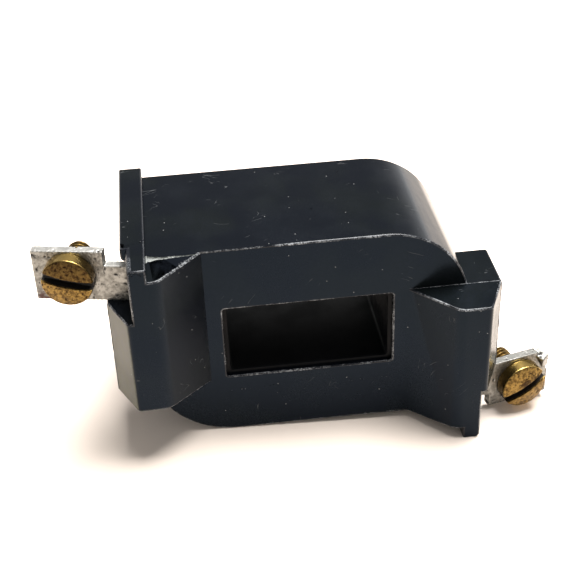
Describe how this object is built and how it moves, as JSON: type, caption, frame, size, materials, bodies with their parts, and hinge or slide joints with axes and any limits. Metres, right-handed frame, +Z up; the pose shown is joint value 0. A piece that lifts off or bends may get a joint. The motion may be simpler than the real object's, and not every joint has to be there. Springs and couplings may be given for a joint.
{
  "type": "encapsulated magnet coil",
  "caption": "Potted electromagnet coil with a rectangular core window and two diagonally opposed terminal lobes, each with a flat strip and a slotted brass screw.",
  "frame": {"origin": "centre of the rectangular core window, half way between the front and back faces", "axes": "+X from the left terminal to the right terminal, the longest extent; +Y along the core window from the lobed front to the plain back; +Z up, with the foot rail at the bottom right"},
  "size_m": [0.0873, 0.0335, 0.0406],
  "materials": {
    "potting": "glossy black moulded resin with fine scratches and worn edges",
    "bobbin_nylon": "dull black moulded nylon",
    "kraft_insulation": "brown insulating paper",
    "glass_tape": "woven white tape",
    "magnet_wire": "clear enamel on copper",
    "sleeving": "varnished sleeving",
    "solder": "dull solder",
    "tinned_strip": "dull tinned strip with dark pits",
    "screw_brass": "aged brass, pitted, with a worn bright rim"
  },
  "bodies": {
    "coil": {"encapsulation": "potting", "bobbin": "bobbin_nylon", "core_wrap": "kraft_insulation", "winding_inner": "magnet_wire", "interlayer_wrap_inner": "kraft_insulation", "winding_middle": "magnet_wire", "interlayer_wrap_outer": "kraft_insulation", "winding_outer": "magnet_wire", "outer_wrap": "glass_tape", "start_lead": "magnet_wire", "start_lead_sleeve": "sleeving", "wrap_end_tape": "glass_tape", "start_solder_joint": "solder", "finish_lead": "magnet_wire", "finish_lead_sleeve": "sleeving", "finish_lead_tape": "glass_tape", "finish_solder_joint": "solder", "terminal_strip_right": "tinned_strip", "terminal_strip_left": "tinned_strip"},
    "right_screw": {"terminal_screw_right": "screw_brass"},
    "left_screw": {"terminal_screw_left": "screw_brass"}
  },
  "joints": [
    {"name": "right_screw_turn", "type": "hinge", "parent": "coil", "child": "right_screw", "pos_m": [0.03737, -0.01177, -0.0151], "axis": [0.2419, -0.9703, 0], "range_deg": [0, 990]},
    {"name": "left_screw_turn", "type": "hinge", "parent": "coil", "child": "left_screw", "pos_m": [-0.03783, -0.01134, 0.0151], "axis": [-0.1994, -0.9799, 0], "range_deg": [0, 990]}
  ]
}
